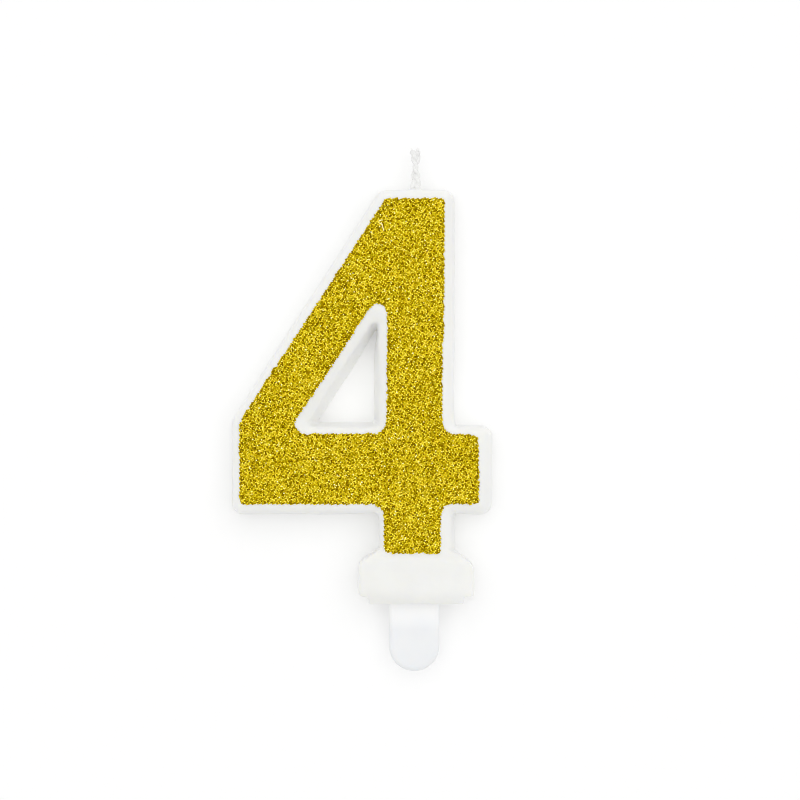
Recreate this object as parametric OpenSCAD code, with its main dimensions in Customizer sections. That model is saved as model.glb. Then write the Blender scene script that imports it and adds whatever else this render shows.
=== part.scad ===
// Number birthday candle: a numeral 4 and its base block cast in one piece of wax, with a
// glittered front face, a plaited wick and a flat plastic pick in a slot under the base.
// Z is up and the front faces -Y. The origin is the middle of the base's underside, which
// is also the surface of the cake that the pick goes into.

/* [Numeral] */
// Height of the wax, from the underside of the base to the top edge
wax_height = 70; // [69:0.5:72]
// Thickness of the numeral, from its back to its flat front face
wax_depth = 8; // [7:0.5:9]
// Width of the upright stroke
upright_width = 13; // [12.5:0.5:14]
// Width of the top edge, where the sloping stroke meets the upright
top_width = 12.6; // [12:0.1:13.5]
// Reach of the crossbar to the left of the centre line
bar_left = 31.3; // [30:0.1:33]
// Reach of the crossbar to the right of the centre line
bar_right = 12.8; // [11.5:0.1:14]
// Height of the crossbar's lower edge
bar_bottom = 14.9; // [14:0.1:15.5]
// Height of the crossbar's upper edge, right of the upright
bar_top = 29.9; // [29:0.1:30.2]
// Height at which the sloping stroke leaves the left end of the crossbar
slope_foot = 30.8; // [30:0.1:32]

/* [Front edge] */
// Width of the sloping border between the outline and the flat front face
border = 1.8; // [1.5:0.05:2]
// Width of the border along the upper edge of the crossbar, right of the upright
bar_top_border = 1.3; // [1.1:0.05:2]
// Width of the border at the right end of the crossbar
bar_end_border = 2.15; // [1.5:0.05:2.4]
// Width of the border on the right of the upright, under the crossbar
low_right_border = 2.35; // [1.5:0.05:2.5]
// Width of the border on the left of the upright, under the crossbar
low_left_border = 1.1; // [1:0.05:2]
// Share of the border's width that is the mould's draft
draft_share = 0.3; // [0.15:0.05:0.45]
// Depth of the bevel between the drafted wall and the front face
bevel_depth = 1.2; // [0.8:0.1:1.6]
// Roundness of the bevel, from a plain chamfer to a quarter ellipse
bevel_roundness = 0.4; // [0:0.1:1]
// Height of the straight wall left along the back edge
back_land = 0.4; // [0.2:0.1:0.8]

/* [Counter] */
// Width of the clear three-cornered hole, along its floor
counter_width = 10.5; // [10:0.1:11]
// Height of the clear hole, up its upright side
counter_height = 16.3; // [15.5:0.1:17]
// Height of the hole's floor
counter_floor = 30.3; // [30.3:0.1:30.8]
// Distance from the outline of the upright to the hole
counter_gap = 0.3; // [0.1:0.1:0.6]
// Width of the border along the hole's sloping side
counter_slope_border = 2.8; // [1.8:0.05:3]

/* [Base block] */
// Width of the base block
base_width = 19.5; // [19:0.1:21]
// Amount that the block stands proud of the numeral's front face
base_proud = 0.5; // [0.2:0.1:1]
// Height of the block's underside above the foot
foot_height = 1.3; // [1:0.1:1.6]
// Width of the foot
foot_width = 16; // [15:0.1:17]
// Height at which the block's upright sides end
side_top = 5.9; // [5.5:0.1:6.2]
// Height at which the shoulders meet the upright stroke
shoulder_top = 9.3; // [9.1:0.1:9.6]
// Radius of the lower left corner, trimmed round
left_corner = 1.1; // [0.6:0.1:1.3]
// Radius of the lower right corner
right_corner = 0.4; // [0.2:0.1:1.3]

/* [Wick] */
// Length of wick above the wax
wick_exposed = 6.5; // [5:0.5:9]
// Length of wick inside the upright stroke
wick_embedded = 30; // [20:1:34]
// Radius of one strand
strand_radius = 0.23; // [0.18:0.01:0.235]
// Half-width of the plait, to the strands' centre lines
plait_width = 0.52; // [0.5:0.01:0.54]
// Half-thickness of the plait, to the strands' centre lines
plait_thickness = 0.34; // [0.33:0.01:0.36]
// Height in which each strand crosses over and back
plait_pitch = 5; // [5:0.5:7]
// Height in which the whole plait turns once
plait_turn = 12.5; // [9:0.5:20]

/* [Pick] */
// Width of the pick
pick_width = 8.5; // [8:0.1:9]
// Thickness of the pick
pick_thickness = 1.6; // [1.2:0.1:2]
// Length of blade below the base
blade_length = 11.5; // [10:0.5:30]
// Length of tang inside the base
tang_length = 12; // [10:0.5:14]
// Width of the bevel round the blade
blade_bevel = 0.8; // [0.4:0.1:1]
// Sideways offset of the pick from the centre line
pick_offset = -0.25; // [-0.5:0.05:0.5]
// Clearance round the tang in its slot
slot_clearance = 0.05; // [0.03:0.01:0.1]

/* [Glitter] */
// Height at which the glitter stops, above the base block
coat_bottom = 8.5; // [8.5:0.1:10]
// Strip of bare wax between the edge of the front face and the glitter
coat_margin = 0.05; // [0:0.05:0.5]
// Thickness of the adhesive film
film_thickness = 0.05; // [0.03:0.01:0.1]
// Thickness of the glitter layer
glitter_thickness = 0.2; // [0.1:0.05:0.4]

/* [Hidden] */

back = wax_depth / 2;
front = -wax_depth / 2;
half_upright = upright_width / 2;
reach = 50;                  // longer than half of any side of the candle
curve_steps = 6;
sharp = 0.15;                // radius left on a corner that is all but sharp

// Base block, seen from the side and from above
block_front = front - base_proud;
ramp_low = 7.6;              // the block's front slopes back to the numeral between these heights
ramp_high = 8.6;
under_curve = 4;             // radius of the front's curve down to the underside
under_start = 2.8;           // height at which that curve starts
front_edge_radius = 1;
back_edge_radius = 0.3;
shoulder_radius = 2;
shoulder_turn = 52;          // degrees turned from the upright side to the shoulder's slope

// Wick
plait_rings = 82;
strand_sides = 8;
channel_clearance = 0.03;
channel_radius = plait_width + 0.02 + strand_radius + channel_clearance;
channel_end_gap = 0.1;
wick_bottom = wax_height - wick_embedded;
wick_top = wax_height + wick_exposed;

// Pick
slot_end_gap = 0.02;
tang_chamfer = 1;
tang_start = 0.3;            // the square tang starts just inside the slot's mouth
blade_overlap = 1;           // height that the bevelled blade runs on inside the tang
blade_edge = pick_thickness * 0.55;

// Points on a circle's arc, from one angle to another
function arc(centre, radius, from, to, steps = curve_steps) =
    [for (i = [0:steps])
        let (angle = from + (to - from) * i / steps)
        centre + radius * [cos(angle), sin(angle)]];

// ---- Outlines that shrink or grow from the back face to the front face ----

function unit(v) = v / norm(v);

// Points of a rounded corner. Outlines run clockwise, seen from the front, and each of the two
// edges that meet at the corner is first moved inwards by its own amount.
function rounded_corner(before, corner, after, moved_in, moved_out, outer_radius, inner_radius) =
    let (
        d_in = unit(corner - before),
        d_out = unit(after - corner),
        n_in = [d_in.y, -d_in.x],
        n_out = [d_out.y, -d_out.x],
        k_in = corner * n_in + moved_in,
        k_out = corner * n_out + moved_out,
        det = n_in.x * n_out.y - n_in.y * n_out.x,
        meeting = [k_in * n_out.y - k_out * n_in.y, n_in.x * k_out - n_out.x * k_in] / det,
        turn = atan2(d_in.x * d_out.y - d_in.y * d_out.x, d_in * d_out),
        radius = turn < 0 ? outer_radius : inner_radius,
        start = meeting - d_in * radius * tan(abs(turn) / 2),
        centre = start + n_in * radius * (turn < 0 ? 1 : -1),
        spoke = start - centre
    )
    [for (i = [0:curve_steps])
        let (a = turn * i / curve_steps)
        centre + [spoke.x * cos(a) - spoke.y * sin(a), spoke.x * sin(a) + spoke.y * cos(a)]];

function outline(corners, moves, outer_radius, inner_radius = sharp) =
    let (n = len(corners))
    [for (i = [0:n - 1])
        each rounded_corner(corners[(i + n - 1) % n], corners[i], corners[(i + 1) % n],
            moves[(i + n - 1) % n], moves[i], outer_radius, inner_radius)];

// Section of the front edge: depth from the back, and the share of the border that it has reached
crease = wax_depth - bevel_depth;
edge_section = concat(
    [[0, 0], [back_land, 0], [crease, draft_share]],
    [for (t = [22.5, 45, 67.5])
        let (
            chamfer = [t / 90, t / 90],
            ellipse = [sin(t), 1 - cos(t)],
            point = chamfer + bevel_roundness * (ellipse - chamfer)
        )
        [crease + bevel_depth * point.x, draft_share + (1 - draft_share) * point.y]],
    [[wax_depth, 1]]
);

// A closed solid through rings of points, from the back forwards. Each end is a fan about the hub.
module loft(rings, depths, hub)
    let (
        n = len(rings[0]),
        last = len(rings) - 1,
        points = [for (k = [0:last], p = rings[k]) [p.x, back - depths[k], p.y]],
        back_hub = len(points),
        hubs = [[hub.x, back - depths[0], hub.y], [hub.x, back - depths[last], hub.y]],
        walls = [for (k = [0:last - 1], i = [0:n - 1])
            let (a = k * n + i, b = k * n + (i + 1) % n)
            each [[a, b, b + n], [a, b + n, a + n]]],
        back_fan = [for (i = [0:n - 1]) [back_hub, (i + 1) % n, i]],
        front_fan = [for (i = [0:n - 1]) [back_hub + 1, last * n + i, last * n + (i + 1) % n]]
    )
    polyhedron(points = concat(points, hubs), faces = concat(walls, back_fan, front_fan));

// ---- Numeral ----

// Corners of the numeral's outline at the back, without the counter
numeral_corners = [
    [half_upright - top_width, wax_height],
    [half_upright, wax_height],
    [half_upright, bar_top],
    [bar_right, bar_top],
    [bar_right, bar_bottom],
    [half_upright, bar_bottom],
    [half_upright, foot_height + 1],
    [-half_upright, foot_height + 1],
    [-half_upright, bar_bottom],
    [-bar_left, bar_bottom],
    [-bar_left, slope_foot]
];

// Width of the border along each side, from the top edge round to the sloping stroke
numeral_borders = [
    border, border, bar_top_border, bar_end_border, border, low_right_border,
    border, low_left_border, border, border, border
];

// The whole outline can be seen from this point, where the upright and the crossbar cross
numeral_hub = [0, (bar_top + bar_bottom) / 2];

// Corners of the counter: the ends of its floor, then its top
counter_right = -half_upright - counter_gap;
counter_corners = [
    [counter_right, counter_floor],
    [counter_right - counter_width, counter_floor],
    [counter_right, counter_floor + counter_height]
];
counter_borders = [border, counter_slope_border, border];
counter_hub = [counter_right - counter_width / 4, counter_floor + counter_height / 4];

// The numeral's outline with a share of its border taken off
function numeral_ring(share, extra = 0) =
    outline(numeral_corners, share * numeral_borders + [for (b = numeral_borders) extra],
        (1 - share) * border + sharp, share * border + sharp + extra);

// The counter's outline with a share of its border added
function counter_ring(share, extra = 0) =
    outline(counter_corners, -share * counter_borders - [for (b = counter_borders) extra],
        share * border + sharp + extra);

module numeral_blank()
    loft([for (s = edge_section) numeral_ring(s[1])], [for (s = edge_section) s[0]], numeral_hub);

// The counter's space runs on past the back and the front
module counter_space()
    loft(
        concat([counter_ring(0)], [for (s = edge_section) counter_ring(s[1])], [counter_ring(1)]),
        concat([-1], [for (s = edge_section) s[0]], [wax_depth + 1]),
        counter_hub
    );

// ---- Base block ----

// Half of the block's outline from the front, from the foot up to the shoulder
function half_block(corner) = concat(
    [[0, 0], [foot_width / 2, 0], [foot_width / 2, foot_height]],
    arc([base_width / 2 - corner, foot_height + corner], corner, -90, 0),
    arc([base_width / 2 - shoulder_radius, side_top], shoulder_radius, 0, shoulder_turn),
    [[half_upright, shoulder_top], [0, shoulder_top]]
);

module block_from_front()
    rotate([90, 0, 0])
        linear_extrude(2 * reach, center = true) {
            polygon(half_block(right_corner));
            mirror([1, 0]) polygon(half_block(left_corner));
        }

module block_from_side()
    rotate([90, 0, 90])
        linear_extrude(2 * reach, center = true)
            polygon(concat(
                [[back, 0], [back, shoulder_top], [front + 0.1, shoulder_top]],
                [[front + 0.1, ramp_high], [block_front, ramp_low]],
                arc([block_front + under_curve, under_start], under_curve, 180,
                    180 + asin(under_start / under_curve))
            ));

module block_from_above()
    let (
        front_inset = block_front + front_edge_radius,
        back_inset = back - back_edge_radius,
        front_side = base_width / 2 - front_edge_radius,
        back_side = base_width / 2 - back_edge_radius
    )
    linear_extrude(reach)
        polygon(concat(
            arc([front_side, front_inset], front_edge_radius, -90, 0),
            arc([back_side, back_inset], back_edge_radius, 0, 90),
            arc([-back_side, back_inset], back_edge_radius, 90, 180),
            arc([-front_side, front_inset], front_edge_radius, 180, 270)
        ));

module base_block()
    intersection() {
        block_from_front();
        block_from_side();
        block_from_above();
    }

// ---- Openings for the wick and the pick ----

module wick_channel()
    translate([0, 0, wick_bottom - channel_end_gap])
        cylinder(h = wick_top, r = channel_radius, $fn = 48);

module pick_slot()
    let (
        width = pick_width + 2 * slot_clearance,
        depth = pick_thickness + 2 * slot_clearance
    )
    translate([pick_offset - width / 2, -depth / 2, -1])
        cube([width, depth, tang_length + slot_end_gap + 1]);

// ---- Sub-parts ----

module wax_body()
    color("white")
        difference() {
            union() {
                numeral_blank();
                base_block();
            }
            counter_space();
            wick_channel();
            pick_slot();
        }

// A sheet over the flat front face, from one distance in front of it to another
module face_sheet(near, far)
    translate([0, front - near, 0])
        rotate([90, 0, 0])
            linear_extrude(far - near)
                difference() {
                    polygon(numeral_ring(1, coat_margin));
                    polygon(counter_ring(1, coat_margin));
                    translate([-reach, coat_bottom - reach]) square([2 * reach, reach]);
                }

module glue_film() color("ivory") face_sheet(0, film_thickness);

module glitter_coat() color("goldenrod") face_sheet(film_thickness, film_thickness + glitter_thickness);

// Centre line of one strand at a height: a flat three-strand plait that slowly turns
function strand_point(strand, height) =
    let (
        phase = 360 * height / plait_pitch + 120 * strand,
        across = plait_width * sin(phase),
        through = plait_thickness * sin(2 * phase),
        turned = 360 * height / plait_turn
    )
    [
        across * cos(turned) - through * sin(turned),
        across * sin(turned) + through * cos(turned),
        wick_top - height
    ];

// One ring of points round a strand, square to its direction
function strand_ring(strand, height) =
    let (
        along = unit(strand_point(strand, height - 0.05) - strand_point(strand, height + 0.05)),
        side = unit(cross([0, 1, 0], along)),
        other = cross(along, side)
    )
    [for (i = [0:strand_sides - 1])
        let (angle = 360 * i / strand_sides)
        strand_point(strand, height)
            + strand_radius * (cos(angle) * side + sin(angle) * other)];

module wick_strand(strand)
    let (
        n = strand_sides,
        top_cap = strand_radius,
        length = wick_exposed + wick_embedded - 2 * strand_radius,
        points = [for (k = [0:plait_rings - 1])
            each strand_ring(strand, top_cap + length * k / (plait_rings - 1))],
        walls = [for (k = [0:plait_rings - 2], i = [0:n - 1])
            let (a = k * n + i, b = k * n + (i + 1) % n)
            each [[a, b, b + n], [a, b + n, a + n]]],
        first_cap = [for (i = [1:n - 2]) [0, i + 1, i]],
        last = (plait_rings - 1) * n,
        last_cap = [for (i = [1:n - 2]) [last, last + i, last + i + 1]]
    )
    polyhedron(points = points, faces = concat(walls, first_cap, last_cap));

module wick_ply_1() color("snow") wick_strand(0);

module wick_ply_2() color("snow") wick_strand(1);

module wick_ply_3() color("snow") wick_strand(2);

// Outline of the blade from the front, with a rounded tip
module blade_outline(inset)
    polygon(concat(
        arc([0, pick_width / 2 - blade_length], pick_width / 2 - inset, 180, 360, 24),
        [[pick_width / 2 - inset, blade_overlap], [inset - pick_width / 2, blade_overlap]]
    ));

module blade()
    rotate([90, 0, 0])
        hull() {
            linear_extrude(blade_edge, center = true) blade_outline(0);
            linear_extrude(pick_thickness, center = true) blade_outline(blade_bevel);
        }

module tang()
    rotate([90, 0, 0])
        linear_extrude(pick_thickness, center = true)
            polygon([
                [-pick_width / 2, tang_start], [pick_width / 2, tang_start],
                [pick_width / 2, tang_length - tang_chamfer],
                [pick_width / 2 - tang_chamfer, tang_length],
                [tang_chamfer - pick_width / 2, tang_length],
                [-pick_width / 2, tang_length - tang_chamfer]
            ]);

module pick()
    color("azure")
        translate([pick_offset, 0, 0]) {
            blade();
            tang();
        }

wax_body();
glue_film();
glitter_coat();
wick_ply_1();
wick_ply_2();
wick_ply_3();
pick();
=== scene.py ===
"""The number birthday candle's looks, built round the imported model.

Lengths in the making are in millimetres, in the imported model's frame, and meshes are scaled to
metres as they are written. The front of the candle faces -Y and the wick points up, +Z.
"""
import math

import bmesh
import bpy
import numpy as np
from mathutils import Matrix, Vector, noise
from mathutils.bvhtree import BVHTree
from mathutils.geometry import delaunay_2d_cdt


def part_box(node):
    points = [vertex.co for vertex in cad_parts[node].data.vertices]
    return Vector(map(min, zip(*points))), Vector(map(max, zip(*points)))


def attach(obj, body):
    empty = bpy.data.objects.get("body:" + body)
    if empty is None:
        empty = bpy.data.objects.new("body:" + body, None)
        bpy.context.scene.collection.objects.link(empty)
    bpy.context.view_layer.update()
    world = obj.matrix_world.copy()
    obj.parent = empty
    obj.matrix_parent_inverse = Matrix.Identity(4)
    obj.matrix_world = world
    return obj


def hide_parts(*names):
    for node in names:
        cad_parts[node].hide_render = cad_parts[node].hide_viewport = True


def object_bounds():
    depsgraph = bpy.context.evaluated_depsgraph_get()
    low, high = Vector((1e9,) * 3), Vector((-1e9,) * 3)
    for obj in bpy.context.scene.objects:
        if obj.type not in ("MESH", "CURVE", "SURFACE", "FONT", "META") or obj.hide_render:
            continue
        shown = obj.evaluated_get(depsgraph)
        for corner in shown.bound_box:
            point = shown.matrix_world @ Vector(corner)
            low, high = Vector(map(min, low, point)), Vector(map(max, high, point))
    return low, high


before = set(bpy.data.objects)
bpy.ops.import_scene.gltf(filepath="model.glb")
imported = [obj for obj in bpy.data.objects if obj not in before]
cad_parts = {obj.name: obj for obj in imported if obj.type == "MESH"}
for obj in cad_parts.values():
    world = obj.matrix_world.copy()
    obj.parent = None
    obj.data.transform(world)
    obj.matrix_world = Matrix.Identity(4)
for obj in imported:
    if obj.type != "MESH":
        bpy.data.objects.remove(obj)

cad_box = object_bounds()
MM = 0.001


def box_mm(name):
    low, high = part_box(name)
    return np.array(low) / MM, np.array(high) / MM


wax_low, wax_high = box_mm("wax_body")
film_low, film_high = box_mm("glue_film")
coat_low, coat_high = box_mm("glitter_coat")
pick_low, pick_high = box_mm("pick")
ply_low, ply_high = box_mm("wick_ply_1")
numeral_front = film_high[1]          # the flat front face of the wax
numeral_back = wax_high[1]

# the counter, the clear three-cornered hole in the numeral
COUNTER_LEFT, COUNTER_RIGHT, COUNTER_FLOOR = -17.3, -6.8, 30.3
COUNTER_LEAN = 0.644        # run over rise of its sloping wall
COUNTER_MIDDLE = (-9.0, 0.0, 36.5)
COUNTER_REACH = 12.5        # its walls lie within this of its middle, and no others do


# ---- Meshes ----

def to_mesh(name, points, faces):
    mesh = bpy.data.meshes.new(name)
    mesh.from_pydata((np.asarray(points, float) * MM).tolist(), [], faces)
    mesh.update()
    return mesh


def add_piece(name, mesh, material, body, slot, *nodes):
    """A visible piece that rides on a CAD body and stands for some of its nodes."""
    piece = bpy.data.objects.new(name, mesh)
    bpy.context.scene.collection.objects.link(piece)
    mesh.materials.clear()
    mesh.materials.append(material)
    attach(piece, body)
    if nodes:
        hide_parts(*nodes)
    return piece


def with_modifier(mesh, kind, **settings):
    """The mesh after one modifier."""
    holder = bpy.data.objects.new("holder", mesh)
    bpy.context.scene.collection.objects.link(holder)
    modifier = holder.modifiers.new("made", kind)
    for key, value in settings.items():
        setattr(modifier, key, value)
    shown = holder.evaluated_get(bpy.context.evaluated_depsgraph_get())
    made = bpy.data.meshes.new_from_object(shown)
    bpy.data.objects.remove(holder)
    bpy.data.meshes.remove(mesh)
    return made


def points_of(mesh):
    points = np.empty(len(mesh.vertices) * 3)
    mesh.vertices.foreach_get("co", points)
    return points.reshape(-1, 3)


def set_points(mesh, points):
    mesh.vertices.foreach_set("co", np.ascontiguousarray(points).ravel())
    mesh.update()


def smoothed(mesh, rounds, share):
    """Moves each point by its share towards the middle of its neighbours, which rounds creases."""
    edges = np.empty(len(mesh.edges) * 2, int)
    mesh.edges.foreach_get("vertices", edges)
    a, b = edges.reshape(-1, 2).T
    count = np.bincount(edges, minlength=len(mesh.vertices))[:, None]
    points = points_of(mesh)
    for _ in range(rounds):
        total = np.zeros_like(points)
        for axis in range(3):
            total[:, axis] = (
                np.bincount(a, points[b, axis], len(points))
                + np.bincount(b, points[a, axis], len(points))
            )
        points += share * (total / count - points)
    set_points(mesh, points)


def rounded_in_places(mesh, amount, size):
    """Low waves along the normals, as on a hand-finished casting."""
    points = points_of(mesh)
    normals = np.empty(len(mesh.vertices) * 3)
    mesh.vertices.foreach_get("normal", normals)
    waves = np.array([noise.noise(Vector(p) / size) for p in points])
    set_points(mesh, points + amount * waves[:, None] * normals.reshape(-1, 3))


# ---- Materials ----

def material(name, **values):
    """A Principled material with plain values on its sockets, and its node tree."""
    made = bpy.data.materials.new(name)
    made.use_nodes = True
    tree = made.node_tree
    shader = tree.nodes["Principled BSDF"]
    for key, value in values.items():
        shader.inputs[key.replace("_", " ")].default_value = value
    return made, tree, shader


def node(tree, kind, inputs=None, **settings):
    made = tree.nodes.new(kind)
    for key, value in settings.items():
        setattr(made, key, value)
    for key, value in (inputs or {}).items():
        made.inputs[key].default_value = value
    return made


def noise_node(tree, scale, detail=3, rough=0.5):
    """Noise in the object's own coordinates. The scale is in waves per metre."""
    place = node(tree, "ShaderNodeTexCoord")
    made = node(tree, "ShaderNodeTexNoise",
                {"Scale": scale, "Detail": detail, "Roughness": rough})
    tree.links.new(place.outputs["Object"], made.inputs["Vector"])
    return made


def ramp(tree, source, stops):
    made = node(tree, "ShaderNodeValToRGB")
    elements = made.color_ramp.elements
    while len(elements) < len(stops):
        elements.new(1)
    for element, (place, colour) in zip(elements, stops):
        element.position = place
        element.color = (*colour, 1)
    tree.links.new(source, made.inputs["Fac"])
    return made.outputs["Color"]


def spread(tree, source, low, high):
    """The middle of a noise, from 0.3 to 0.7, stretched to a range of values."""
    made = node(tree, "ShaderNodeMapRange",
                {"From Min": 0.3, "From Max": 0.7, "To Min": low, "To Max": high})
    tree.links.new(source, made.inputs["Value"])
    return made.outputs["Result"]


def product(tree, first, second):
    made = node(tree, "ShaderNodeMath", operation="MULTIPLY")
    tree.links.new(first, made.inputs[0])
    tree.links.new(second, made.inputs[1])
    return made.outputs[0]


def bumped(tree, shader, sources, distance):
    """A bump from the sum of (height, weight) pairs. The distance is in metres."""
    total = None
    for height, weight in sources:
        scaled = node(tree, "ShaderNodeMath", {1: weight}, operation="MULTIPLY")
        tree.links.new(height, scaled.inputs[0])
        if total is None:
            total = scaled.outputs[0]
        else:
            added = node(tree, "ShaderNodeMath", operation="ADD")
            tree.links.new(total, added.inputs[0])
            tree.links.new(scaled.outputs[0], added.inputs[1])
            total = added.outputs[0]
    bump = node(tree, "ShaderNodeBump", {"Strength": 1, "Distance": distance})
    tree.links.new(total, bump.inputs["Height"])
    tree.links.new(bump.outputs["Normal"], shader.inputs["Normal"])


def wax_material():
    made, tree, shader = material("wax", IOR=1.44, Subsurface_Weight=0.5, Subsurface_Scale=0.0008)
    shader.inputs["Subsurface Radius"].default_value = (1.0, 0.95, 0.75)
    clouds = noise_node(tree, 160, 4)
    grain = noise_node(tree, 2600, 4, 0.6)
    pits = noise_node(tree, 900, 2)
    face = ramp(tree, clouds.outputs["Fac"], [
        (0.3, (0.86, 0.862, 0.838)), (0.55, (0.88, 0.882, 0.86)), (0.75, (0.90, 0.90, 0.88)),
    ])
    # painted light: the sides and the back are painted a little whiter than the face, and the walls of
    # the counter, where less light falls, are painted the whitest, to make up for light that does not
    # reach them
    place = node(tree, "ShaderNodeTexCoord")
    normal = node(tree, "ShaderNodeSeparateXYZ")
    painted_paler_sides = node(tree, "ShaderNodeMapRange", {"From Min": -0.95, "From Max": -0.4})
    away = node(tree, "ShaderNodeVectorMath", {1: Vector(COUNTER_MIDDLE) * MM}, operation="DISTANCE")
    share = node(tree, "ShaderNodeMapRange", {"From Min": COUNTER_REACH * MM,
                                              "From Max": (COUNTER_REACH + 2) * MM,
                                              "To Min": 1, "To Max": 0.6})
    mix = node(tree, "ShaderNodeMix", {"B": (0.985, 0.985, 0.965, 1)}, data_type="RGBA")
    tree.links.new(place.outputs["Normal"], normal.inputs[0])
    tree.links.new(normal.outputs["Y"], painted_paler_sides.inputs["Value"])
    tree.links.new(place.outputs["Object"], away.inputs[0])
    tree.links.new(away.outputs["Value"], share.inputs["Value"])
    tree.links.new(product(tree, painted_paler_sides.outputs["Result"], share.outputs["Result"]),
                   mix.inputs["Factor"])
    tree.links.new(face, mix.inputs["A"])
    tree.links.new(mix.outputs["Result"], shader.inputs["Base Color"])
    tree.links.new(spread(tree, pits.outputs["Fac"], 0.42, 0.58), shader.inputs["Roughness"])
    bumped(tree, shader, [(grain.outputs["Fac"], 0.25), (pits.outputs["Fac"], 0.75)], 0.00004)
    return made


def glitter_material():
    made, tree, shader = material("gold_glitter", Metallic=1, IOR=1.5)
    tone = node(tree, "ShaderNodeAttribute", attribute_name="tone")
    gold = ramp(tree, tone.outputs["Fac"], [
        (0.0, (0.175, 0.104, 0.0)), (0.2, (0.38, 0.272, 0.001)), (0.5, (0.63, 0.483, 0.007)),
        (0.8, (0.855, 0.685, 0.034)), (0.98, (1.0, 0.85, 0.1)), (1.0, (1.0, 0.97, 0.5)),
    ])
    # a second draw from each flake's tone turns it a little warmer or greener
    many = node(tree, "ShaderNodeMath", {1: 97.0}, operation="MULTIPLY")
    rest = node(tree, "ShaderNodeMath", operation="FRACT")
    tree.links.new(tone.outputs["Fac"], many.inputs[0])
    tree.links.new(many.outputs[0], rest.inputs[0])
    hue = ramp(tree, rest.outputs[0], [(0.0, (1.0, 0.9, 0.8)), (1.0, (0.94, 1.0, 1.0))])
    mix = node(tree, "ShaderNodeMix", {"Factor": 1.0}, data_type="RGBA", blend_type="MULTIPLY")
    tree.links.new(gold, mix.inputs["A"])
    tree.links.new(hue, mix.inputs["B"])
    tree.links.new(mix.outputs["Result"], shader.inputs["Base Color"])
    streaks = noise_node(tree, 5000, 2)
    tree.links.new(spread(tree, streaks.outputs["Fac"], 0.25, 0.45), shader.inputs["Roughness"])
    bumped(tree, shader, [(streaks.outputs["Fac"], 1)], 0.00001)
    return made


def adhesive_material():
    made, tree, shader = material("adhesive", IOR=1.48, Coat_Weight=0.4)
    clouds = noise_node(tree, 900, 4)
    tree.links.new(
        ramp(tree, clouds.outputs["Fac"], [
            (0.3, (0.72, 0.62, 0.26)), (0.7, (0.84, 0.75, 0.38)),
        ]),
        shader.inputs["Base Color"],
    )
    tree.links.new(spread(tree, clouds.outputs["Fac"], 0.25, 0.45), shader.inputs["Roughness"])
    bumped(tree, shader, [(clouds.outputs["Fac"], 1)], 0.00004)
    return made


def wick_material():
    made, tree, shader = material("waxed_cotton", IOR=1.45, Sheen_Weight=0.25)
    twist = noise_node(tree, 3500, 4, 0.6)
    wax = noise_node(tree, 1100, 2)
    tree.links.new(
        ramp(tree, twist.outputs["Fac"], [
            (0.3, (0.82, 0.82, 0.81)), (0.65, (0.89, 0.89, 0.88)),
        ]),
        shader.inputs["Base Color"],
    )
    tree.links.new(spread(tree, wax.outputs["Fac"], 0.4, 0.75), shader.inputs["Roughness"])
    bumped(tree, shader, [(twist.outputs["Fac"], 0.6), (wax.outputs["Fac"], 0.4)], 0.00003)
    return made


def pick_material():
    made, tree, shader = material("pick_plastic", IOR=1.46, Subsurface_Weight=0.3,
                                  Subsurface_Scale=0.0012)
    shader.inputs["Subsurface Radius"].default_value = (0.8, 0.9, 1.0)
    clouds = noise_node(tree, 220, 3)
    grain = noise_node(tree, 4200, 3)
    body = ramp(tree, clouds.outputs["Fac"], [
        (0.3, (0.84, 0.85, 0.865)), (0.7, (0.865, 0.872, 0.88)),
    ])
    # painted light: palest round the place where it enters the wax, standing in for the light that the
    # translucent plastic carries down from the wax
    place = node(tree, "ShaderNodeTexCoord")
    parts = node(tree, "ShaderNodeSeparateXYZ")
    rise = node(tree, "ShaderNodeMapRange", {"From Min": -0.0045, "From Max": -0.0003})
    fade = node(tree, "ShaderNodeMapRange", {"From Min": 0.0005, "From Max": 0.004, "To Min": 1,
                                             "To Max": 0.3})
    mix = node(tree, "ShaderNodeMix", {"B": (0.99, 0.99, 0.99, 1)}, data_type="RGBA")
    tree.links.new(place.outputs["Object"], parts.inputs[0])
    tree.links.new(parts.outputs["Z"], rise.inputs["Value"])
    tree.links.new(parts.outputs["Z"], fade.inputs["Value"])
    tree.links.new(product(tree, rise.outputs["Result"], fade.outputs["Result"]),
                   mix.inputs["Factor"])
    tree.links.new(body, mix.inputs["A"])
    tree.links.new(mix.outputs["Result"], shader.inputs["Base Color"])
    tree.links.new(spread(tree, clouds.outputs["Fac"], 0.45, 0.55), shader.inputs["Roughness"])
    bumped(tree, shader, [(grain.outputs["Fac"], 0.3), (clouds.outputs["Fac"], 0.7)], 0.00003)
    return made


# ---- Wax body ----

VOXEL = 0.26            # size of the grid that the casting is rebuilt on


def block(low, high):
    """A box's corners and faces, used only to fill or to cut."""
    corners = [(x, y, z) for x in (low[0], high[0]) for y in (low[1], high[1])
               for z in (low[2], high[2])]
    faces = [(0, 1, 3, 2), (4, 6, 7, 5), (0, 4, 5, 1), (2, 3, 7, 6), (0, 2, 6, 4), (1, 5, 7, 3)]
    return corners, faces


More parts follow.
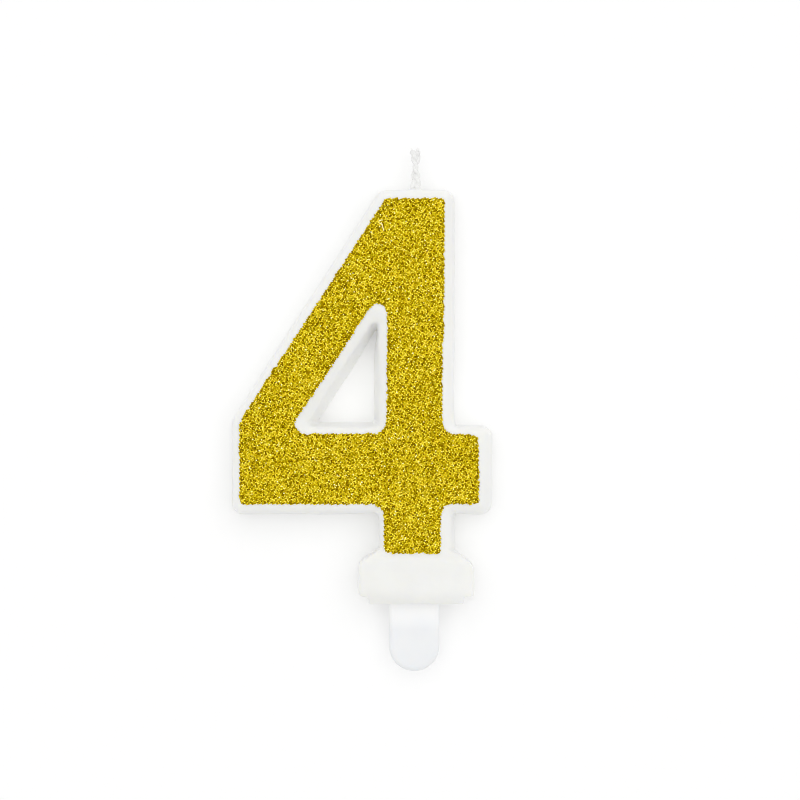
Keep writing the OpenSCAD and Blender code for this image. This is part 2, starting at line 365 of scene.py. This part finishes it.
def settled(mesh):
    """Shifts the upright's sides and the bar's end by up to 0.3 mm, and the block's shoulders by up to
    0.5 mm, as the real casting has them."""
    points = points_of(mesh)
    x, _, z = points.T
    right = np.interp(z, [8, 14, 16, 30, 33, 42, 70], [0.1, 0.1, 0.26, 0.26, 0, 0.16, 0.18])
    left = np.interp(z, [8, 9.5, 14, 15], [0, 0.22, 0.22, 0])
    lower = np.interp(z, [13, 14, 16, 19], [0, 0.16, 0.16, 0]) * np.clip((np.abs(x) - 7.5) / 2, 0, 1)
    points[:, 0] += right * np.clip((x + 1) / 4, 0, 1) + left * np.clip((-x - 1) / 3, 0, 1)
    shoulder = 0.5 * np.clip((x - 4.5) / 1.5, 0, 1) + 0.17 * np.clip((-4.5 - x) / 1.5, 0, 1)
    points[:, 2] -= lower + shoulder * np.interp(z, [3, 5.5, 9.6, 11.5], [0, 1, 1, 0])
    set_points(mesh, points)


def narrowed_counter(mesh):
    """Moves the counter's walls further in towards the back, by up to 0.6 mm, as the real casting has
    them."""
    points = points_of(mesh)
    x, y, z = points.T

    def beside(distance):
        return np.clip(1 - np.abs(distance) / 3, 0, 1)

    depth = np.interp(y, [numeral_front + 1, numeral_back], [0, 1])
    sloping = beside(x - COUNTER_LEFT - COUNTER_LEAN * (z - COUNTER_FLOOR))
    tall = np.clip((z - 28) / 2, 0, 1) * np.clip((50 - z) / 2, 0, 1)
    wide = np.clip((x + 19) / 1.5, 0, 1) * np.clip((-5 - x) / 1.5, 0, 1)
    aside = depth * tall * (0.6 * sloping - 0.3 * beside(x - COUNTER_RIGHT))
    points[:, 2] += 0.2 * depth * wide * beside(z - COUNTER_FLOOR)
    points[:, 0] += aside
    set_points(mesh, points)


def flattened_face(mesh):
    """Takes the waves out of the face under the adhesive, which is flat."""
    points = points_of(mesh)
    _, y, z = points.T
    points[:, 1] = np.where(z > coat_low[2], np.maximum(y, numeral_front), y)
    set_points(mesh, points)


def wax_mesh():
    """The CAD casting with its channel and slot filled, softened all over, and the slot cut again."""
    soup = bmesh.new()
    soup.from_mesh(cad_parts["wax_body"].data)
    bmesh.ops.scale(soup, vec=(1 / MM,) * 3, verts=soup.verts)
    bmesh.ops.remove_doubles(soup, verts=soup.verts, dist=1e-3)
    filled = 0.9                        # radius that fills the wick's channel
    bottom, top = ply_low[2] - 0.3, wax_high[2]
    bmesh.ops.create_cone(soup, cap_ends=True, segments=32, radius1=filled, radius2=filled,
                          depth=top - bottom, matrix=Matrix.Translation((0, 0, (top + bottom) / 2)))
    margin = 0.15                       # how far the slot's filling goes into its walls
    corners, faces = block((pick_low[0] - margin, pick_low[1] - margin, wax_low[2]),
                           pick_high + margin)
    made = [soup.verts.new(c) for c in corners]
    for f in faces:
        soup.faces.new([made[i] for i in f])
    solid = bpy.data.meshes.new("wax_solid")
    soup.to_mesh(solid)
    soup.free()
    solid = with_modifier(solid, "REMESH", mode="VOXEL", voxel_size=VOXEL, adaptivity=0)
    # the foot's ends keep their edges, and the rest is worn rounder
    height = points_of(solid)[:, 2:]
    smoothed(solid, 5, np.interp(height, [1.2, 2.0], [0.12, 0.5]))
    rounded_in_places(solid, 0.05, 5)
    rounded_in_places(solid, 0.02, 1.4)
    settled(solid)
    narrowed_counter(solid)
    flattened_face(solid)

    gap = 0.05                          # clearance round the tang
    corners, faces = block((pick_low[0] - gap, pick_low[1] - gap, wax_low[2] - 1), pick_high + gap)
    cutter_mesh = bpy.data.meshes.new("slot_cutter")
    cutter_mesh.from_pydata(corners, [], faces)
    cutter = bpy.data.objects.new("slot_cutter", cutter_mesh)
    bpy.context.scene.collection.objects.link(cutter)
    solid = with_modifier(solid, "BOOLEAN", operation="DIFFERENCE", solver="EXACT", object=cutter)
    bpy.data.objects.remove(cutter)
    set_points(solid, points_of(solid) * MM)
    solid.shade_smooth()
    solid.set_sharp_from_angle(angle=math.radians(50))
    return solid


# ---- Glitter ----

PITCH = 0.235           # distance between flakes
UNEVEN = 0.27           # how far a flake lies out of its row, as a share of the pitch
LATTICE_TURN = 0.3      # the rows of flakes lie askew to the numeral, in radians
FLAKE_DEPTH = 0.13      # height of a flake's middle above the adhesive
STEEPEST = 1.6          # steepest slope between two flakes, as rise over run
EDGE_INSET = 0.04       # flakes keep this far from the edge of the CAD coat
BRIGHT_STREAK = np.array([(-6.0, 64.2), (-5.35, 62.6)])       # ends of a short streak through the gold where every flake takes the brightest tone
BRIGHT_STREAK_WIDTH = 0.15    # from its middle to either side

# the sloping stroke of the coat: a point and the run over rise of its outer and inner edges
OUTER_TOP, OUTER_LEAN = (coat_high[0] - 15.73, 67.7), 0.66
INNER_TOP, INNER_LEAN = (-9.11, 47.6), 0.668


def straight(x, z):
    """Where a point of the coat would lie if the coat's mask had not sat slightly askew."""
    right = np.interp(z, [8, 14, 22, 32, 43, 46, 68], [0.12, 0.1, 0.02, -0.18, -0.12, 0.08, 0.22])
    left = np.interp(z, [8, 22, 30, 32, 47, 50, 68], [-0.03, -0.1, -0.12, 0.03, 0.1, 0.0, 0.13])
    upright = left + (right - left) * np.clip((x + 4) / 8, 0, 1)
    outer = OUTER_TOP[0] - (OUTER_TOP[1] - z) * OUTER_LEAN
    inner = np.minimum(INNER_TOP[0] - (INNER_TOP[1] - z) * INNER_LEAN, -5)
    across = np.clip((x - outer) / (np.maximum(outer + 9, inner) - outer), 0, 1)
    slope = ((1 - across) * np.interp(z, [33, 38, 44, 50, 57, 62, 68],
                                      [-0.34, -0.28, -0.09, -0.08, 0.03, 0.04, 0])
             + across * np.interp(z, [31, 36, 42, 48], [0.25, 0.42, 0.52, 0.55]))
    on_slope = np.clip((z - 30.5) / 0.5, 0, 1) * np.clip((-5.1 - x) / 0.3, 0, 1)
    aside = upright + on_slope * (slope - upright)
    floor = np.clip(1.5 - np.abs(z - 28.7) / 2, 0, 1) * np.clip(np.minimum(x + 22, -5 - x) / 0.5, 0, 1)
    apex = (np.clip(1.5 - np.abs(z - 50) / 2, 0, 1)
            * np.interp(x, [-9.2, -8.7, -7.5, -6.7, -5.2, -4.8, -4.4], [0, 0.12, 0.15, 0.4, 0.5, 0.5, 0]))
    top = 0.06 * np.clip((z - 64) / 2, 0, 1)
    return x - aside, z - 0.2 * floor - apex + top


def lattice_of_cells(draw):
    """The middles of an uneven square lattice of cells over the coat, and each cell's neighbours: to
    the east, north, west and south, and across its north-east, north-west, south-west and
    south-east corners."""
    middle = (coat_low + coat_high)[[0, 2]] / 2
    half = np.linalg.norm((coat_high - coat_low)[[0, 2]]) / 2 + 1
    side = int(2 * half / PITCH)
    row, column = np.meshgrid(np.arange(side), np.arange(side), indexing="ij")
    lattice = (np.stack([column, row], axis=-1).reshape(-1, 2) - side / 2) * PITCH
    lattice += draw.uniform(-UNEVEN, UNEVEN, lattice.shape) * PITCH
    cos, sin = math.cos(LATTICE_TURN), math.sin(LATTICE_TURN)
    centres = middle + lattice @ np.array([[cos, sin], [-sin, cos]])
    steps = [(0, 1), (1, 0), (0, -1), (-1, 0), (1, 1), (1, -1), (-1, -1), (-1, 1)]
    near = np.stack([
        np.clip(row + up, 0, side - 1) * side + np.clip(column + along, 0, side - 1)
        for up, along in steps
    ], axis=-1).reshape(-1, 8)
    return centres, near


def cells_in_coat(centres):
    """Which cell centres lie well inside the coat's outline, from rays into the CAD coat."""
    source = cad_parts["glitter_coat"]
    tree = BVHTree.FromPolygons([v.co / MM for v in source.data.vertices],
                                [p.vertices for p in source.data.polygons])
    inside = np.zeros(len(centres), bool)
    close = ((centres > coat_low[[0, 2]] - 1) & (centres < coat_high[[0, 2]] + 1)).all(1)
    x, z = straight(*centres.T)
    toward = Vector((0, 1, 0))
    for i in np.flatnonzero(close):
        inside[i] = all(
            tree.ray_cast(Vector((x[i] + dx, coat_low[1] - 5, z[i] + dz)), toward, 8)[0]
            for dx, dz in ((EDGE_INSET, 0), (0, EDGE_INSET), (-EDGE_INSET, 0), (0, -EDGE_INSET))
        )
    return inside


def cells_with_flakes(centres, near, draw):
    """Which cells hold a flake: those in the coat, less thin spikes and corners of it."""
    ragged = 0.06
    inside = cells_in_coat(centres + draw.normal(0, ragged, centres.shape))
    rounded = inside
    for reach in (4, 8, 4):
        rounded = rounded & rounded[near[:, :reach]].all(1)
    for reach in (4, 8, 4, 4):
        rounded = rounded | rounded[near[:, :reach]].any(1)
    inside &= rounded
    inside &= inside[near[:, :4]].sum(1) >= 2
    return inside


def steep_flakes(flat, high, near, inside):
    """Which flakes have too steep a slope to the next flake east or north of them, or are that
    next flake."""
    steep_ones = np.zeros(len(inside), bool)
    for k in range(2):
        other = near[:, k]
        both = inside & inside[other]
        for mine, theirs in ((k, k + 1), (k - 1, k + 2)):
            run = np.linalg.norm(flat[:, mine % 4] - flat[other, theirs % 4], axis=1)
            rise = np.abs(high[:, mine % 4] - high[other, theirs % 4])
            steep = both & (rise > STEEPEST * run)
            steep_ones |= steep
            steep_ones[other[steep]] = True
    return steep_ones


def tilted_flakes(centres, corners, near, inside, draw):
    """The corners of each flake, and their heights above the adhesive. Each flake has a tilt of its
    own, which is eased where it makes the slope to the next flake too steep."""
    n = len(centres)
    # flakes at the coat's edge are small, low and nearly flat
    on_edge = inside & ~inside[near].all(1)
    size = np.where(on_edge, 0.5, draw.uniform(0.72, 0.88, n))
    offsets = (corners - centres[:, None]) * size[:, None, None]
    flat = centres[:, None] + offsets
    level = np.where(on_edge, 0.07, FLAKE_DEPTH + draw.normal(0, 0.02, n))
    heading = draw.uniform(0, 2 * math.pi, n)
    slope = np.where(on_edge, 0.1, draw.uniform(0.05, 0.55, n))
    tilt = np.stack([np.cos(heading), np.sin(heading)], axis=1) * slope[:, None]

    def heights():
        return level[:, None] + (offsets * tilt[:, None]).sum(2)

    for _ in range(30):
        steep = steep_flakes(flat, heights(), near, inside)
        if not steep.any():
            break
        tilt[steep] *= 0.85
        level[steep & ~on_edge] += 0.15 * (FLAKE_DEPTH - level[steep & ~on_edge])
    return flat, heights()


def crust_faces(near, inside, tones):
    """The faces of the crust's front and the tone of each: the flakes, the slopes between them and
    down to the rim, and the patches where four cells meet. The slopes and the patches take darker
    tones, painted shade in the gaps between the flakes. The corners of the flakes are numbered first,
    and those of the rim after them. Also gives the rim's edges, and the cells whose north-east
    corners the rim's corners are."""
    n = len(near)
    kept = np.flatnonzero(inside)
    flake = np.full((n, 4), -1)
    flake[kept] = np.arange(len(kept) * 4).reshape(-1, 4)
    rim = {}

    def rim_corner(cell):
        return rim.setdefault(cell, 4 * len(kept) + len(rim))

    faces = flake[kept].tolist()
    face_tones = tones[kept].tolist()
    rim_edges = []
    # the cell whose north-east corner is this cell's corner k
    owner = np.stack([np.arange(n), near[:, 2], near[:, 6], near[:, 3]], axis=1)
    for i in kept:
        for k in range(4):
            j = near[i, k]
            if not inside[j]:
                first, second = rim_corner(owner[i, k]), rim_corner(owner[i, k - 1])
                faces.append([flake[i, k], flake[i, k - 1], second, first])
                # painted shade: the slope down to the rim is darker than its flake
                face_tones.append(0.3 + 0.5 * tones[i])
                rim_edges.append((first, second))
            elif k < 2:
                faces.append([flake[i, k], flake[i, k - 1], flake[j, (k + 2) % 4],
                              flake[j, (k + 1) % 4]])
                # painted shade: the slope between two flakes is darker than either of them
                face_tones.append(0.45 * min(tones[i], tones[j]))
    around = np.stack([np.arange(n), near[:, 0], near[:, 4], near[:, 1]], axis=1)
    for i in np.flatnonzero(inside[around].sum(1) >= 2):
        ring = [flake[cell, k] if inside[cell] else rim_corner(i)
                for k, cell in enumerate(around[i])]
        ring = [v for k, v in enumerate(ring) if v != ring[k - 1]]
        if len(set(ring)) == len(ring) > 2:
            faces.append(ring)
            # painted shade: the patch where four cells meet is very dark
            face_tones.append(0.1)
    return faces, face_tones, rim_edges, list(rim)


def area_inside(rim, rim_edges):
    """The area inside the rim's edges as triangles that face the wax."""
    ends = rim[rim_edges]
    _, _, triangles, _, _, _ = delaunay_2d_cdt(
        [Vector(v) for v in rim], rim_edges.tolist(), [], 0, 1e-7)
    area = []
    for triangle in triangles:
        a, b, c = rim[list(triangle)]
        x, z = (a + b + c) / 3
        # inside, a line to the right crosses the rim an odd number of times
        e = ends[(ends[:, 0, 1] > z) != (ends[:, 1, 1] > z)]
        crossing = e[:, 0, 0] + (z - e[:, 0, 1]) * (e[:, 1, 0] - e[:, 0, 0]) / (e[:, 1, 1] - e[:, 0, 1])
        if (crossing > x).sum() % 2:
            turn = (b[0] - a[0]) * (c[1] - a[1]) - (b[1] - a[1]) * (c[0] - a[0])
            area.append(list(triangle) if turn < 0 else list(triangle)[::-1])
    return area


def glitter_meshes(draw):
    """The flakes as one closed crust, tilted four-sided facets with short slopes between them, and
    the film of adhesive under it."""
    centres, near = lattice_of_cells(draw)
    inside = cells_with_flakes(centres, near, draw)
    corners = np.stack([
        (centres + centres[near[:, k]] + centres[near[:, k + 4]] + centres[near[:, (k + 1) % 4]]) / 4
        for k in range(4)
    ], axis=1)
    flat, high = tilted_flakes(centres, corners, near, inside, draw)

    tones = draw.uniform(0, 1, len(centres))
    start, way = BRIGHT_STREAK[0], BRIGHT_STREAK[1] - BRIGHT_STREAK[0]
    along = np.clip((centres - start) @ way / (way @ way), 0, 1)
    tones[np.linalg.norm(centres - start - along[:, None] * way, axis=1) < BRIGHT_STREAK_WIDTH] = 1

    faces, face_tones, rim_edges, rim_cells = crust_faces(near, inside, tones)
    flakes = np.insert(flat[inside].reshape(-1, 2), 1, coat_high[1] - high[inside].ravel(), axis=1)
    rim = corners[rim_cells, 0]
    rim_edges = np.array(rim_edges) - len(flakes)
    under = area_inside(rim, rim_edges)
    faces += [[v + len(flakes) for v in f] for f in under]
    face_tones += [0.3] * len(under)
    points = np.concatenate([flakes, np.insert(rim, 1, coat_high[1], axis=1)])
    crust = to_mesh("glitter_flakes", points, faces)
    tone = crust.attributes.new("tone", "FLOAT", "FACE")
    tone.data.foreach_set("value", np.array(face_tones, np.float32))

    n = len(rim)
    points = np.concatenate([np.insert(rim, 1, y, axis=1) for y in (film_low[1], film_high[1])])
    faces = [[v + n for v in f] for f in under] + [f[::-1] for f in under]
    faces += [[b, a, a + n, b + n] for a, b in rim_edges.tolist()]
    return crust, to_mesh("adhesive_film", points, faces)


# ---- Wick ----

PLY_PITCH = 5.0         # height in which each ply crosses over and back
PLY_TURN = 12.5         # height in which the whole plait turns once
PLY_WIDTH, PLY_THICKNESS = 0.53, 0.22       # half-width and half-thickness of the plait
PLY_WIDE, PLY_THIN = 0.42, 0.31     # half-width and half-thickness of one flattened ply
FRAYED = 1.6            # length of the loosened tip
FIBRES, TIP_FIBRES = 70, 48                 # loose fibres in all, and those at the tip
wick_tip = ply_high[2] + 0.05


def ply_point(ply, down):
    """Centre line of one ply, at a distance below the wick's tip."""
    loose = np.clip(1 - down / FRAYED, 0, 1) ** 1.5
    phase = 2 * math.pi * (down / PLY_PITCH + ply / 3)
    across = PLY_WIDTH * np.sin(phase) * (1 - 0.3 * loose)
    through = PLY_THICKNESS * np.sin(2 * phase) * (1 + 0.4 * loose)
    turned = 2 * math.pi * down / PLY_TURN
    return np.array([
        across * np.cos(turned) - through * np.sin(turned),
        across * np.sin(turned) + through * np.cos(turned),
        wick_tip - down,
    ])


def tube(centres, radii, around, across=((1.0, 0.0, 0.0),)):
    """Points and faces of a tube along a line, with a ring of radii at each of the line's points. The
    first radius of a ring points across the line, towards the given direction."""
    centres = np.asarray(centres, float)
    along = np.gradient(centres, axis=0)
    along /= np.linalg.norm(along, axis=1)[:, None]
    side = across - (along * across).sum(1)[:, None] * along
    side /= np.linalg.norm(side, axis=1)[:, None]
    other = np.cross(along, side)
    angles = 2 * math.pi * np.arange(around) / around
    ring = (np.cos(angles)[None, :, None] * side[:, None]
            + np.sin(angles)[None, :, None] * other[:, None])
    points = centres[:, None] + ring * np.asarray(radii)[..., None]
    points = points.reshape(-1, 3)
    rings = len(centres)
    faces = []
    for k in range(rings - 1):
        for i in range(around):
            a, b = k * around + i, k * around + (i + 1) % around
            faces.append([a, b, b + around, a + around])
    ends = np.array([centres[0] - along[0] * 0.3 * np.mean(radii[0]),
                     centres[-1] + along[-1] * 0.3 * np.mean(radii[-1])])
    first, last = len(points), len(points) + 1
    for i in range(around):
        j = (i + 1) % around
        faces.append([first, j, i])
        faces.append([last, (rings - 1) * around + i, (rings - 1) * around + j])
    return np.concatenate([points, ends]), faces


def ply_mesh(ply, draw):
    """One ply: a flattened, waxed bundle of twisted yarns, finely divided down to 1.5 mm below the
    wax's top and coarsely below that."""
    shown = wick_tip - wax_high[2] + 1.5
    end = wick_tip - ply_low[2] - 0.1
    fine, coarse = 0.07, 0.6
    down = np.concatenate([np.arange(PLY_THIN, shown, fine), np.arange(shown, end, coarse)])
    around = 30
    angles = 2 * math.pi * np.arange(around) / around
    oval = 1 / np.hypot(np.cos(angles) / PLY_WIDE, np.sin(angles) / PLY_THIN)
    wobble = draw.uniform(0, 6.28, 3)
    radii = []
    for d in down:
        ridge = 0.5 + 0.5 * np.cos(5 * angles + 2 * math.pi * d / 1.1 + wobble[0])
        uneven = 1 + 0.05 * math.sin(3.1 * d + wobble[1]) + 0.04 * math.sin(7.7 * d + wobble[2])
        swollen = 1 + 0.35 * max(0, 1 - d / FRAYED)
        radii.append(oval * (0.96 + 0.03 * ridge) * uneven * swollen)
    turned = 2 * math.pi * down / PLY_TURN
    flat = np.stack([np.cos(turned), np.sin(turned), 0 * turned], axis=1)
    points, faces = tube([ply_point(ply, d) for d in down], np.array(radii), around, flat)
    mesh = to_mesh(f"wick_yarn_{ply + 1}", points, faces)
    mesh.shade_smooth()
    return mesh


def fibre_mesh(draw):
    """Loose fibres at the cut tip of the wick, and a few along it."""
    points, faces, total = [], [], 0
    steps = np.linspace(0, 1, 7)
    radii = np.array([[0.03 * (1 - 0.6 * s)] * 5 for s in steps])
    for count in range(FIBRES):
        at_tip = count < TIP_FIBRES
        start = ply_point(count % 3, draw.uniform(0.05, 0.9) if at_tip else draw.uniform(0.9, 5.5))
        away = start * [1, 1, 0]
        away /= np.linalg.norm(away) + 1e-6
        out = draw.uniform(0.4, 1.0) * away + draw.normal(0, 0.45, 3) * [1, 1, 0]
        up = draw.uniform(0.5, 1.1) if at_tip else draw.uniform(0.2, 0.8)
        length = draw.uniform(0.35, 0.75) if at_tip else draw.uniform(0.3, 0.6)
        curl = draw.normal(0, 0.12, 3)
        line = [start + away * PLY_THIN * 0.7
                + length * (s * (out * 0.45 + np.array([0, 0, up])) + s * s * curl) for s in steps]
        tube_points, tube_faces = tube(line, radii, 5)
        faces += [[v + total for v in f] for f in tube_faces]
        points.append(tube_points)
        total += len(tube_points)
    mesh = to_mesh("wick_fibres", np.concatenate(points), faces)
    mesh.shade_smooth()
    return mesh


# ---- Pick ----

def blade_outline(centre_x, half_width, end_z, top):
    """A blade's outline: a half-round tip and two straight sides up to a height."""
    middle = end_z + half_width
    angles = np.linspace(math.pi, 2 * math.pi, 40)
    tip = [(centre_x + half_width * math.cos(a), middle + half_width * math.sin(a)) for a in angles]
    heights = np.linspace(middle, top, 8)[1:]
    right = [(centre_x + half_width, z) for z in heights]
    left = [(centre_x - half_width, z) for z in heights[::-1]]
    return tip + right + left


def pick_mesh():
    """The moulded pick, blade and tang in one, with a rounded rim all round."""
    middle_x = (pick_low[0] + pick_high[0]) / 2
    half_width = (pick_high[0] - pick_low[0]) / 2
    half_depth = (pick_high[1] - pick_low[1]) / 2
    tip, top = pick_low[2], pick_high[2]
    # inset on the left, on the right and at the tip, then the height of the surface there
    profile = [
        (0.0, 0.0, 0.0, 0.0), (0.0, 0.0, 0.0, 0.30), (0.05, 0.05, 0.05, 0.43),
        (0.16, 0.18, 0.18, 0.55), (0.34, 0.40, 0.40, 0.66), (0.56, 0.70, 0.70, 0.74),
        (0.78, 1.0, 1.0, 0.785), (0.95, 1.2, 1.2, 0.80),
    ]
    highest = profile[-1][3]
    rings = [
        (blade_outline(middle_x + (left - right) / 2, half_width - (left + right) / 2,
                       tip + low, top - min(low, 1.0)),
         half_depth * height / highest)
        for left, right, low, height in profile
    ]
    order = rings[::-1] + [(outline, -depth) for outline, depth in rings[1:]]
    points = [(x, depth, z) for outline, depth in order for x, z in outline]
    n = len(rings[0][0])
    faces = []
    for k in range(len(order) - 1):
        for i in range(n):
            a, b = k * n + i, k * n + (i + 1) % n
            faces.append([a, b, b + n, a + n])
    last = (len(order) - 1) * n
    faces += [list(range(n))[::-1], list(range(last, last + n))]
    mesh = to_mesh("pick_blade", points, faces)
    turned = bmesh.new()
    turned.from_mesh(mesh)
    bmesh.ops.recalc_face_normals(turned, faces=turned.faces)
    turned.to_mesh(mesh)
    turned.free()
    mesh.shade_smooth()
    mesh.set_sharp_from_angle(angle=math.radians(35))
    return mesh


# ---- The candle ----

draw = np.random.default_rng(4)

wax = wax_material()
wick = wick_material()
add_piece("wax_casting", wax_mesh(), wax, "candle", "wax", "wax_body")
crust, film = glitter_meshes(draw)
add_piece("adhesive_film", film, adhesive_material(), "candle", "adhesive", "glue_film")
add_piece("glitter_flakes", crust, glitter_material(), "candle", "glitter", "glitter_coat")
for number in range(3):
    add_piece(f"wick_yarn_{number + 1}", ply_mesh(number, draw), wick, "candle", "wick",
              f"wick_ply_{number + 1}")
add_piece("wick_fibres", fibre_mesh(draw), wick, "candle", "wick")
blade = add_piece("pick_blade", pick_mesh(), pick_material(), "pick", "pick_plastic", "pick")
blade.visible_shadow = False        # the light goes on through the translucent plastic


# ---- Stage, light and camera ----

def table_material():
    """Pale table top. Its underside is clear, so that the candle's back can be seen through it, and
    light comes up through it to the surface that rests on it, which would be black otherwise."""
    made, tree, shader = material("pale_table", Roughness=0.7)
    shader.inputs["Base Color"].default_value = (0.99, 0.99, 0.99, 1)
    shader.inputs["Specular IOR Level"].default_value = 0.1
    side = node(tree, "ShaderNodeNewGeometry")
    ray = node(tree, "ShaderNodeLightPath")
    touching = node(tree, "ShaderNodeMath", {1: 0.0004}, operation="LESS_THAN")
    either = node(tree, "ShaderNodeMath", operation="MAXIMUM")
    clear = node(tree, "ShaderNodeBsdfTransparent")
    mix = node(tree, "ShaderNodeMixShader")
    tree.links.new(ray.outputs["Ray Length"], touching.inputs[0])
    tree.links.new(side.outputs["Backfacing"], either.inputs[0])
    tree.links.new(touching.outputs[0], either.inputs[1])
    tree.links.new(either.outputs[0], mix.inputs["Fac"])
    tree.links.new(shader.outputs[0], mix.inputs[1])
    tree.links.new(clear.outputs[0], mix.inputs[2])
    tree.links.new(mix.outputs[0], tree.nodes["Material Output"].inputs["Surface"])
    return made


reach = 1500            # from the table's middle to its edges
table_y = numeral_back + 0.06
table_mesh = to_mesh("table", [(-reach, table_y, -reach), (reach, table_y, -reach),
                               (reach, table_y, reach), (-reach, table_y, reach)], [(0, 1, 2, 3)])
table = bpy.data.objects.new("table", table_mesh)
bpy.context.scene.collection.objects.link(table)
table_mesh.materials.append(table_material())

world = bpy.data.worlds.new("studio")
bpy.context.scene.world = world
world.use_nodes = True
sky = world.node_tree
# light from all round, more of it from above, and a broad soft box in front
direction = node(sky, "ShaderNodeTexCoord")
parts = node(sky, "ShaderNodeSeparateXYZ")
rise = node(sky, "ShaderNodeMapRange", {"From Min": -1, "From Max": 1, "To Min": 0.555,
                                        "To Max": 0.775})
toward = node(sky, "ShaderNodeVectorMath", {1: (0.05, -0.995, 0.08)}, operation="DOT_PRODUCT")
softbox = node(sky, "ShaderNodeMapRange", {"From Min": 0.6, "From Max": 0.86, "To Min": 0,
                                           "To Max": 0.755}, interpolation_type="SMOOTHSTEP")
both = node(sky, "ShaderNodeMath", operation="ADD")
sky.links.new(direction.outputs["Generated"], parts.inputs[0])
sky.links.new(parts.outputs["Z"], rise.inputs["Value"])
sky.links.new(direction.outputs["Generated"], toward.inputs[0])
sky.links.new(toward.outputs["Value"], softbox.inputs["Value"])
sky.links.new(rise.outputs["Result"], both.inputs[0])
sky.links.new(softbox.outputs["Result"], both.inputs[1])
# the camera sees plain white, whatever the light is
ray = node(sky, "ShaderNodeLightPath")
seen = node(sky, "ShaderNodeMix", {"B": 1.0}, data_type="FLOAT")
sky.links.new(ray.outputs["Is Camera Ray"], seen.inputs["Factor"])
sky.links.new(both.outputs[0], seen.inputs["A"])
sky.links.new(seen.outputs["Result"], sky.nodes["Background"].inputs["Strength"])
sky.nodes["Background"].inputs["Color"].default_value = (1, 1, 0.998, 1)

# in metres: the photograph was taken from about this far, and this far to the right of the model's
# middle and above it
CAMERA_DISTANCE, CAMERA_RIGHT, CAMERA_ABOVE = 0.4, 0.0066, 0.00178
middle = (cad_box[0] + cad_box[1]) / 2
camera = bpy.data.objects.new("camera", bpy.data.cameras.new("camera"))
bpy.context.scene.collection.objects.link(camera)
camera.location = (middle.x + CAMERA_RIGHT, numeral_front * MM - CAMERA_DISTANCE,
                   middle.z + CAMERA_ABOVE)
camera.rotation_euler = (math.radians(90), 0, 0)
camera.data.sensor_width = 36
camera.data.lens = 107.6
camera.data.clip_start = 0.01
bpy.context.scene.camera = camera
bpy.context.scene.view_settings.view_transform = "Standard"
bpy.context.scene.cycles.filter_width = 0.9
